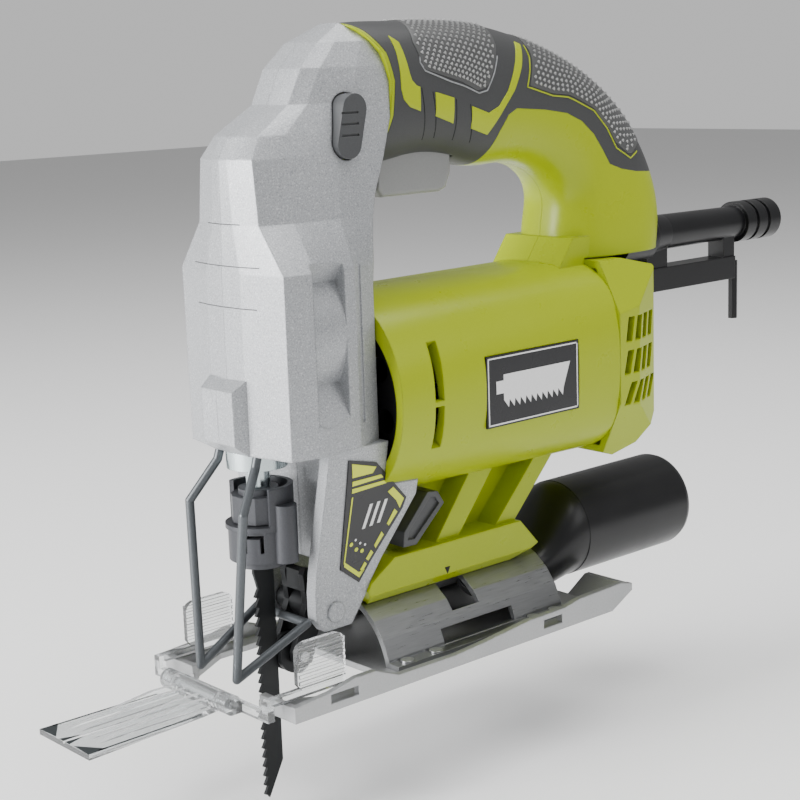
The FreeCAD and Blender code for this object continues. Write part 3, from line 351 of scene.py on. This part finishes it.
def mesh_piece(name, points, faces, material, body):
    """A new piece made of points and faces, riding a CAD body."""
    mesh = bpy.data.meshes.new(name)
    mesh.from_pydata([tuple(p) for p in points], [], faces)
    mesh.materials.append(MATERIALS[material])
    mesh.validate()
    piece = bpy.data.objects.new(name, mesh)
    bpy.context.scene.collection.objects.link(piece)
    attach(piece, body)
    return piece


def finished(piece):
    """The piece with its modifiers made part of its mesh."""
    graph = bpy.context.evaluated_depsgraph_get()
    mesh = bpy.data.meshes.new_from_object(piece.evaluated_get(graph))
    piece.modifiers.clear()
    piece.data = mesh
    return piece


# ------------------------------------------------------------ geometry trees
def new_tree(name, inputs):
    """A geometry tree with named inputs after its geometry."""
    tree = bpy.data.node_groups.new(name, "GeometryNodeTree")
    tree.interface.new_socket(name="Geometry", in_out="INPUT",
                              socket_type="NodeSocketGeometry")
    for label, kind in inputs:
        tree.interface.new_socket(name=label, in_out="INPUT", socket_type=kind)
    tree.interface.new_socket(name="Geometry", in_out="OUTPUT",
                              socket_type="NodeSocketGeometry")
    return tree, tree.nodes.new("NodeGroupInput"), tree.nodes.new("NodeGroupOutput")


def stipple_tree():
    """A small pyramid on every point of the surface, standing along its normal."""
    tree, inside, out = new_tree("grip_stipple", [
        ("Width", "NodeSocketFloat"), ("Height", "NodeSocketFloat"),
        ("Sides", "NodeSocketInt"), ("Material", "NodeSocketMaterial")])
    cone = add(tree, "GeometryNodeMeshCone", {"Radius Top": 0.12 * MM}, {
        "Radius Bottom": inside.outputs["Width"], "Depth": inside.outputs["Height"],
        "Vertices": inside.outputs["Sides"]})
    normal = add(tree, "GeometryNodeInputNormal")
    stand = add(tree, "FunctionNodeAlignRotationToVector", None,
                {"Vector": normal.outputs["Normal"]}, axis="Z")
    place = add(tree, "GeometryNodeInstanceOnPoints", None, {
        "Points": inside.outputs["Geometry"], "Instance": cone.outputs["Mesh"],
        "Rotation": stand.outputs["Rotation"]})
    real = add(tree, "GeometryNodeRealizeInstances", None,
               {"Geometry": place.outputs["Instances"]})
    skin = add(tree, "GeometryNodeSetMaterial", None,
               {"Geometry": real.outputs["Geometry"], "Material": inside.outputs["Material"]})
    tree.links.new(skin.outputs["Geometry"], out.inputs["Geometry"])
    return tree


def piping_tree():
    """A round line of one thickness along each edge path, with closed ends."""
    tree, inside, out = new_tree("piping_line", [
        ("Radius", "NodeSocketFloat"), ("Material", "NodeSocketMaterial")])
    path = add(tree, "GeometryNodeMeshToCurve", None, {"Mesh": inside.outputs["Geometry"]})
    ring = add(tree, "GeometryNodeCurvePrimitiveCircle", {"Resolution": 8},
               {"Radius": inside.outputs["Radius"]})
    tube = add(tree, "GeometryNodeCurveToMesh", {"Fill Caps": True},
               {"Curve": path.outputs["Curve"], "Profile Curve": ring.outputs["Curve"]})
    soft = add(tree, "GeometryNodeSetShadeSmooth", None, {"Geometry": tube.outputs["Mesh"]})
    real = add(tree, "GeometryNodeRealizeInstances", None,
               {"Geometry": soft.outputs["Geometry"]})
    skin = add(tree, "GeometryNodeSetMaterial", None,
               {"Geometry": real.outputs["Geometry"], "Material": inside.outputs["Material"]})
    tree.links.new(skin.outputs["Geometry"], out.inputs["Geometry"])
    return tree


STIPPLE = stipple_tree()
PIPING = piping_tree()


def run_tree(name, tree, points, edges, faces, values, body):
    """The mesh that a geometry tree makes from these points, as a finished piece."""
    mesh = bpy.data.meshes.new(name)
    mesh.from_pydata([tuple(p) for p in points], edges, faces)
    piece = bpy.data.objects.new(name, mesh)
    bpy.context.scene.collection.objects.link(piece)
    grow = piece.modifiers.new("grow", "NODES")
    grow.node_group = tree
    sockets = {s.name: s.identifier for s in tree.interface.items_tree if s.in_out == "INPUT"}
    for label, value in values.items():
        grow[sockets[label]] = value
    finished(piece)
    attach(piece, body)
    return piece


def line(name, paths, radius, material, slot):
    """Round lines on the housing along one or more paths of points."""
    points, edges = [], []
    for path in paths:
        start = len(points)
        points += path
        edges += [(start + i, start + i + 1) for i in range(len(path) - 1)]
    return run_tree(name, PIPING, points, edges, [],
                    {"Radius": radius * MM, "Material": MATERIALS[material]}, "housing")


# ---------------------------------------------------------------- soft handle
FAR = 60                  # where rays towards the handle start
PANEL_LIFT = 0.35         # how far the stippled panels stand proud
INLAY_LIFT = 0.22
CREASE_LIFT = -0.12
RIM = 0.12                # rounding of panel and inlay rims
MID_HANDLE = 80           # a place inside the handle that every panel faces away from
HANDLE_SKIN = surface("grip_left", "grip_right", "shell_left", "shell_right")
NOSE_SKIN = surface("nose_left", "nose_right")
LABEL_SKIN = surface("side_label")
SPINE = [Vector((x, 0, z)) * MM for x, z in (
    (-28, 190), (-44, 191), (-60, 191.8), (-80, 191.2), (-97, 188.6), (-112, 186.8),
    (-131, 181.6), (-149, 170.5), (-159.5, 155), (-162, 139))]


def spine_at(s):
    """The handle's centre s millimetres along, and the way out of its back there."""
    s *= MM
    outs = []
    for a, b in zip(SPINE, SPINE[1:]):
        step = (b - a).normalized()
        outs.append(Vector((step.z, 0, -step.x)))
    for i, (a, b) in enumerate(zip(SPINE, SPINE[1:])):
        length = (b - a).length
        if s <= length or i == len(outs) - 1:
            t = s / length
            before = outs[max(0, i - 1)] + outs[i]
            after = outs[i] + outs[min(len(outs) - 1, i + 1)]
            return a + (b - a) * t, before.lerp(after, t).normalized()
        s -= length


def on_handle(s, angle, lift=0.0):
    """A point on the handle: angle 0 is its left side, 90 its back, 180 its right side."""
    centre, out = spine_at(s)
    way = Vector((0, math.cos(math.radians(angle)), 0)) + out * math.sin(math.radians(angle))
    hit = HANDLE_SKIN.ray_cast(centre + way * FAR * MM, -way)[0]
    return hit + way * lift * MM


def between(table, t):
    """The value of a table of (place, value) pairs at t, in straight steps."""
    for (t0, v0), (t1, v1) in zip(table, table[1:]):
        if t <= t1:
            return v0 + (v1 - v0) * max(0.0, (t - t0) / (t1 - t0))
    return table[-1][1]


def mix(a, b, t):
    """The pair of values t of the way from pair a to pair b."""
    return a[0] + (b[0] - a[0]) * t, a[1] + (b[1] - a[1]) * t


def patch(name, points, columns, material, thick):
    """A rectangular net of points made a thin raised panel with rounded rims."""
    rows = len(points) // columns
    faces = [[r * columns + c, r * columns + c + 1, (r + 1) * columns + c + 1,
              (r + 1) * columns + c] for r in range(rows - 1) for c in range(columns - 1)]
    piece = mesh_piece(name, points, faces, material, "housing")
    shape = bmesh.new()
    shape.from_mesh(piece.data)
    bmesh.ops.recalc_face_normals(shape, faces=shape.faces)
    middle = shape.faces[len(shape.faces) // 2]
    inward = spine_at(MID_HANDLE)[0] - middle.calc_center_median()
    if middle.normal.dot(inward) > 0:
        bmesh.ops.reverse_faces(shape, faces=shape.faces)
    shape.to_mesh(piece.data)
    shape.free()
    piece.data.shade_smooth()
    wall = piece.modifiers.new("wall", "SOLIDIFY")
    wall.thickness = thick * MM
    wall.offset = -1.0
    rim = piece.modifiers.new("rim", "BEVEL")
    rim.width = RIM * MM
    rim.segments = 2
    rim.limit_method = "ANGLE"
    return finished(piece)


def panel_point(u, v, panel, lift):
    """A point of a stippled panel: u runs back along the handle, v over its top."""
    low = between(panel["low"], u)
    angle = low + (180 - 2 * low) * v
    side = min(angle, 180 - angle)
    front, rear = between(panel["front"], side), between(panel["rear"], side)
    return on_handle(front + (rear - front) * u, angle, lift)


FRONT_PANEL = {"low": [(0, 20), (0.5, 9.5), (0.92, 1), (1, 5)],
               "front": [(20, 34.4), (43, 32), (73, 34.4), (90, 36)],
               "rear": [(0, 60), (9.6, 63.8), (25.6, 66.2), (46, 68.5), (90, 69)]}
REAR_PANEL = {"low": [(0, 15), (0.22, 15), (0.43, 22), (0.6, 27), (0.75, 21), (0.93, 19),
                      (1, 28)],
              "front": [(15, 84.5), (31, 85.2), (44, 85.7), (58, 84.4), (90, 84)],
              "rear": [(19, 135), (31, 138.5), (90, 138.5)]}


def pyramid_seats(panel, along, across):
    """Tiny triangles in staggered rows on a panel; each point of them carries the panel's
    normal, which the pyramid set on it stands along."""
    points, faces = [], []
    seat, step, lift = 1e-5, 0.002, PANEL_LIFT - 0.01
    inside = spine_at(MID_HANDLE)[0]
    for r in range(1, across):
        stagger = 0.25 if r % 2 else -0.25
        for c in range(1, along):
            u, v = (c + stagger) / along, r / across
            here = panel_point(u, v, panel, lift)
            along_u = panel_point(u + step, v, panel, lift) - here
            along_v = panel_point(u, v + step, panel, lift) - here
            normal = along_u.cross(along_v).normalized()
            if normal.dot(here - inside) < 0:
                normal = -normal
            side = normal.orthogonal().normalized() * seat
            other = normal.cross(side)
            start = len(points)
            points += [here + side, here - side * 0.5 + other * 0.87,
                       here - side * 0.5 - other * 0.87]
            faces.append([start, start + 1, start + 2])
    return points, faces


def stippled_panels():
    """The two raised panels over the handle with their rows of small pyramids; the pyramids'
    lighter grey is a painted highlight on their tips.
    """
    for name, panel, along, across in (("front_panel", FRONT_PANEL, 16, 36),
                                       ("rear_panel", REAR_PANEL, 24, 28)):
        net = [panel_point(c / along, r / across, panel, PANEL_LIFT)
               for r in range(across + 1) for c in range(along + 1)]
        patch(name, net, along + 1, "stipple_rubber", 0.8)
        points, faces = pyramid_seats(panel, along, across)
        run_tree(name + "_pyramids", STIPPLE, points, [], faces,
                 {"Width": 0.80 * MM, "Height": 0.60 * MM, "Sides": 3,
                  "Material": MATERIALS["stipple_tip_highlight"]}, "housing")


# places on the handle: millimetres along it, then the angle round it
SILVER_LINE = [(34, 44), (33.2, 26), (35, 18.5), (46.8, 7.6), (59.6, -1.2), (63.5, 3),
               (66.5, 22), (68.8, 42)]
LIME_LINE = [(83.6, 56), (84.6, 44), (84.2, 30), (83.4, 13), (96.4, 13), (107.2, 19.6),
             (116.9, 25), (125.2, 19), (133, 17), (139.5, 28), (139.8, 45)]
INLAYS = {
    "front": ([(23.4, 51.6), (23.9, 36.8), (24, 19.7), (23.9, 3.3), (24.8, -7.5),
               (27.5, -15.6), (32.3, -20.8)],
              [(23.6, 51.6), (26.3, 44.9), (27, 32.5), (28, 17), (28.8, 10),
               (30.6, 4.7), (32.2, 2.8)]),
    "middle": ([(39.1, -2.3), (47.8, -8.4)], [(39.6, -25.9), (48.7, -33.1)]),
    "rear": ([(57.7, -36.3), (66.3, -39.8), (71.3, -19.8), (77, 7), (80.1, 32.2), (82, 56)],
             [(56.5, -15.4), (65.1, -19.7), (69.9, -11.2), (73.7, 6.1), (76, 26.8),
              (79.3, 57.4)])}
CREASES = [((35.8, -48), (33, 2)), ((41.4, -46.7), (38, -2)), ((51, -48.8), (48.9, -10)),
           ((59.4, -48.9), (55.8, -14))]


def panel_lines(place, tag):
    """Silver and lime lines that border the stippled panels."""
    pieces = 6
    for label, route, finish in (("silver", SILVER_LINE, "silver_paint"),
                                 ("lime", LIME_LINE, "lime_inlay")):
        path = [place(mix(a, b, k / pieces), 0.0)
                for a, b in zip(route, route[1:]) for k in range(pieces)]
        line("panel_%s_line_%s" % (label, tag), [path], 0.28, finish, "grey_rubber")


def inlays(place, tag):
    """Lime inlays, each a net between its two long edges."""
    steps, width = 8, 6
    for label, (one, two) in INLAYS.items():
        net = []
        for k in range((len(one) - 1) * steps + 1):
            i = min(k // steps, len(one) - 2)
            t = k / steps - i
            a, b = mix(one[i], one[i + 1], t), mix(two[i], two[i + 1], t)
            net += [place(mix(a, b, c / width), INLAY_LIFT) for c in range(width + 1)]
        patch("inlay_%s_%s" % (label, tag), net, width + 1, "lime_inlay", 0.5)


def creases(place, tag):
    """Near-black lines sunk along the creases in the grip between the inlays: painted shade in the
    creases.
    """
    pieces = 10
    paths = [[place(mix(a, b, k / pieces), CREASE_LIFT) for k in range(pieces + 1)]
             for a, b in CREASES]
    line("grip_crease_shade_" + tag, paths, 0.26, "black_print_and_crease_shade", "grey_rubber")


def handle_skin():
    """All that lies on the soft grip, the same on both sides."""
    def left(spot, lift):
        return on_handle(spot[0], spot[1], lift)

    def right(spot, lift):
        return on_handle(spot[0], 180 - spot[1], lift)

    stippled_panels()
    for place, tag in ((left, "left"), (right, "right")):
        panel_lines(place, tag)
        inlays(place, tag)
        creases(place, tag)


def nose_seams():
    """Fine seam lines across the front of the silver housing."""
    half_count, sink = 12, 0.02
    paths = []
    for z, half in ((153.2, 8.3), (140.2, 17.0), (127.2, 15.5)):
        path = []
        for k in range(2 * half_count + 1):
            y = half * (k / half_count - 1)
            hit = NOSE_SKIN.ray_cast(Vector((FAR, y, z)) * MM, Vector((-1, 0, 0)))[0]
            path.append(hit + Vector((-sink * MM, 0, 0)))
        paths.append(path)
    line("nose_seam_lines", paths, 0.16, "dark_plastic", "silver_paint")


# -------------------------------------------------------------- printed marks
def film(piece, thickness):
    """A flat printed shape made a closed film, its printed face staying where it is."""
    layer = piece.modifiers.new("film", "SOLIDIFY")
    layer.thickness = thickness * MM
    layer.offset = -1.0
    return finished(piece)


def decal(name, outline, skin, material):
    """A printed shape laid on a left-facing surface; the outline is in x and z."""
    lift = Vector((0, 0.12 * MM, 0))
    inward = Vector((0, -1, 0))
    points = [skin.ray_cast(Vector((x, 80, z)) * MM, inward)[0] + lift for x, z in outline]
    piece = mesh_piece(name, points, [list(range(len(points)))], material, "housing")
    if piece.data.polygons[0].normal.y < 0:
        piece.data.flip_normals()
    return film(piece, 0.08)


def disc(x, z, r):
    """The outline of a round dot."""
    count = 14
    return [(x + r * math.cos(2 * math.pi * k / count), z + r * math.sin(2 * math.pi * k / count))
            for k in range(count)]


def label_print():
    """Border stripes, air strokes and dust dots on the side label."""
    lime = {
        "top_block": [(-18.6, 74.9), (-29.3, 72.0), (-28.0, 70.0), (-19.4, 69.9)],
        "stripe_one": [(-19.6, 68.6), (-31.8, 68.8), (-33.0, 67.6), (-19.8, 66.9)],
        "stripe_two": [(-19.8, 66.0), (-33.6, 66.4), (-34.8, 65.2), (-20.0, 64.4)],
        "left_rule": [(-20.1, 63.0), (-20.7, 63.0), (-20.4, 39.6), (-19.9, 39.3)],
        "corner": [(-38.0, 63.2), (-43.6, 58.0), (-42.2, 54.8), (-40.2, 57.9), (-35.8, 61.9)],
        "edge_one": [(-41.4, 53.6), (-38.2, 49.2), (-37.2, 50.2), (-39.8, 55.0)],
        "edge_two": [(-36.4, 46.4), (-33.4, 42.2), (-32.6, 43.4), (-35.2, 47.8)],
        "edge_three": [(-32.6, 40.8), (-30.8, 38.2), (-29.6, 39.2), (-31.4, 42.0)],
        "edge_four": [(-30.2, 37.2), (-28.4, 34.8), (-27.4, 35.8), (-29.2, 38.2)],
        "foot": [(-20.2, 38.4), (-27.2, 33.0), (-29.4, 35.6), (-26.9, 35.0), (-20.3, 40.0)]}
    for name, outline in lime.items():
        decal("label_" + name, outline, LABEL_SKIN, "print_lime")
    for k in range(3):
        x = -26.2 - 3.2 * k
        decal("label_air_%d" % k, [(x, 50.6 + 0.4 * k), (x - 1.3, 50.6 + 0.4 * k),
                                   (x - 3.6, 59.0 + 0.2 * k), (x - 2.3, 59.0 + 0.2 * k)],
              LABEL_SKIN, "print_white")
    dots = [(-22.3, 45.9), (-24.8, 43.6), (-27.4, 42.6), (-24.0, 47.2), (-26.2, 45.6),
            (-28.4, 44.6)]
    for k, (x, z) in enumerate(dots):
        decal("label_dot_%d" % k, disc(x, z, 0.75 if k < 3 else 0.45), LABEL_SKIN,
              "print_lime" if k < 3 else "print_white")


def badge_print():
    """A plain saw-blade sign and a thin border on the side plate."""
    low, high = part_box("badge_plate")
    skin = surface("badge_plate")
    margin, tang, teeth = 4.5, 3.5, 11
    front, rear = high.x / MM - margin, low.x / MM + margin
    z0, z1 = low.z / MM, high.z / MM
    middle = (z0 + z1) / 2
    start = front - tang
    pitch = (rear - front + 2 * tang) / teeth
    outline = [(front, middle + 3.4), (front, middle - 1.0), (start, middle - 1.0),
               (start, middle - 3.4)]
    for k in range(teeth):
        outline += [(start + pitch * (k + 0.85), middle - 6.2),
                    (start + pitch * (k + 1), middle - 3.4)]
    outline += [(rear, middle + 5.4), (start, middle + 5.4), (start, middle + 3.4)]
    decal("badge_sign", outline, skin, "print_white")
    border, inset = 0.5, 0.6
    a, b = high.x / MM - inset, low.x / MM + inset
    lo, hi = z0 + inset, z1 - inset
    for k, (p, q, r, s) in enumerate(((a, b, lo, lo + border), (a, b, hi - border, hi),
                                      (a, a - border, lo, hi), (b + border, b, lo, hi))):
        decal("badge_rim_%d" % k, [(p, r), (q, r), (q, s), (p, s)], skin, "print_white")


def pointer_marks():
    """Black sight lines and arrowheads printed on top of the clear pointer."""
    top = 2.16
    marks = []
    for sign in (1, -1):
        marks += [[(36, sign * 12.6), (74, sign * 13.2), (74, sign * 14.1), (36, sign * 13.4)],
                  [(78, sign * 14.2), (71.5, sign * 14.2), (77.6, sign * 5.2)],
                  [(77.8, sign * 3.0), (71.5, sign * 0.9), (77.8, sign * 0.5)]]
    for k, outline in enumerate(marks):
        points = [Vector((x, y, top)) * MM for x, y in outline]
        piece = mesh_piece("pointer_mark_%d" % k, points, [list(range(len(points)))],
                           "pointer_ink", "pointer")
        if piece.data.polygons[0].normal.z < 0:
            piece.data.flip_normals()
        film(piece, 0.05)


def bevel_mark():
    """A small dark arrow on the foot, over the bracket."""
    decal("bevel_pointer", [(-66.0, 27.6), (-68.6, 27.6), (-67.3, 24.9)],
          surface("shell_left"), "black_print_and_crease_shade")


paint_cad_nodes()
handle_skin()
nose_seams()
label_print()
badge_print()
pointer_marks()
bevel_mark()


# --------------------------------------------------------------------- studio
def studio():
    """A pale floor, an even room and three soft lights."""
    floor = bpy.data.meshes.new("floor")
    reach, level = 4, -0.046
    floor.from_pydata([(-reach, -reach, level), (reach, -reach, level), (reach, reach, level),
                       (-reach, reach, level)], [], [(0, 1, 2, 3)])
    ground = bpy.data.objects.new("floor", floor)
    bpy.context.scene.collection.objects.link(ground)
    pale, _, shader, _ = new_material("pale_floor", Roughness=0.7)
    shader.inputs["Base Color"].default_value = (0.97, 0.97, 0.97, 1)
    floor.materials.append(pale)

    world = bpy.data.worlds.new("studio")
    world.use_nodes = True
    world.node_tree.nodes["Background"].inputs["Color"].default_value = (1, 1, 1, 1)
    room = world.node_tree
    eye_ray = room.nodes.new("ShaderNodeLightPath").outputs["Is Camera Ray"]
    glow = add(room, "ShaderNodeMapRange", {"To Min": 0.34, "To Max": 0.62}, {"Value": eye_ray})
    room.links.new(glow.outputs["Result"], room.nodes["Background"].inputs["Strength"])
    bpy.context.scene.world = world

    aim = Vector((-0.07, 0, 0.10))
    for name, place, size, watts in (
            ("front_softbox", (1.10, -0.32, 0.42), 0.7, 34.0),
            ("top_softbox", (-0.20, 0.15, 1.20), 1.0, 17.0),
            ("side_softbox", (-0.60, 1.15, 0.80), 0.7, 3.0)):
        lamp = bpy.data.lights.new(name, "AREA")
        lamp.size = size
        lamp.energy = watts
        holder = bpy.data.objects.new(name, lamp)
        holder.location = place
        holder.rotation_euler = (aim - holder.location).to_track_quat("-Z", "Y").to_euler()
        bpy.context.scene.collection.objects.link(holder)


def camera():
    """A long lens at the front left, a little above the tool and rolled slightly."""
    eye = Vector((0.3165, 0.4310, 0.2016))
    forward = Vector((-0.64764, -0.73573, -0.19815)).normalized()
    roll = math.radians(2.0)
    level = forward.cross(UP).normalized()
    right = level * math.cos(roll) - level.cross(forward) * math.sin(roll)
    lens = bpy.data.cameras.new("camera")
    lens.lens = 75.69
    lens.sensor_width = 36.0
    lens.clip_start = 0.01
    view = bpy.data.objects.new("camera", lens)
    turn = Matrix((right, right.cross(forward), -forward)).transposed().to_4x4()
    view.matrix_world = Matrix.Translation(eye) @ turn
    bpy.context.scene.collection.objects.link(view)
    bpy.context.scene.camera = view


studio()
camera()
